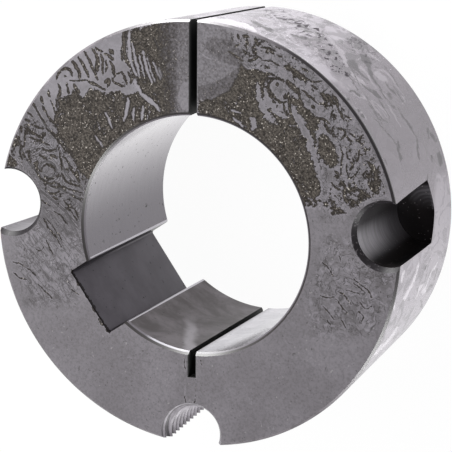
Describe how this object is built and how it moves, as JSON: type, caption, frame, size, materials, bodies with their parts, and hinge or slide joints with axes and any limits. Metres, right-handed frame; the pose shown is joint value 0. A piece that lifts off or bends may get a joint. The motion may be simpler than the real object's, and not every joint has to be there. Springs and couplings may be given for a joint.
{
  "type": "taper bush",
  "caption": "Split cast iron taper bush: a ring with a tapered outside, a keyed shaft bore, a relief slit, blind screw seats and a threaded jacking half-hole.",
  "frame": {"origin": "where the bore axis meets the small end's face", "axes": "+Z along the bore axis, from the small end to the large end; the keyway lies on the -Y side of the bore"},
  "size_m": [0.1078, 0.1078, 0.0508],
  "materials": {
    "iron": "phosphated and oiled, satin"
  },
  "bodies": {
    "root": {"bush": "iron"}
  },
  "joints": []
}
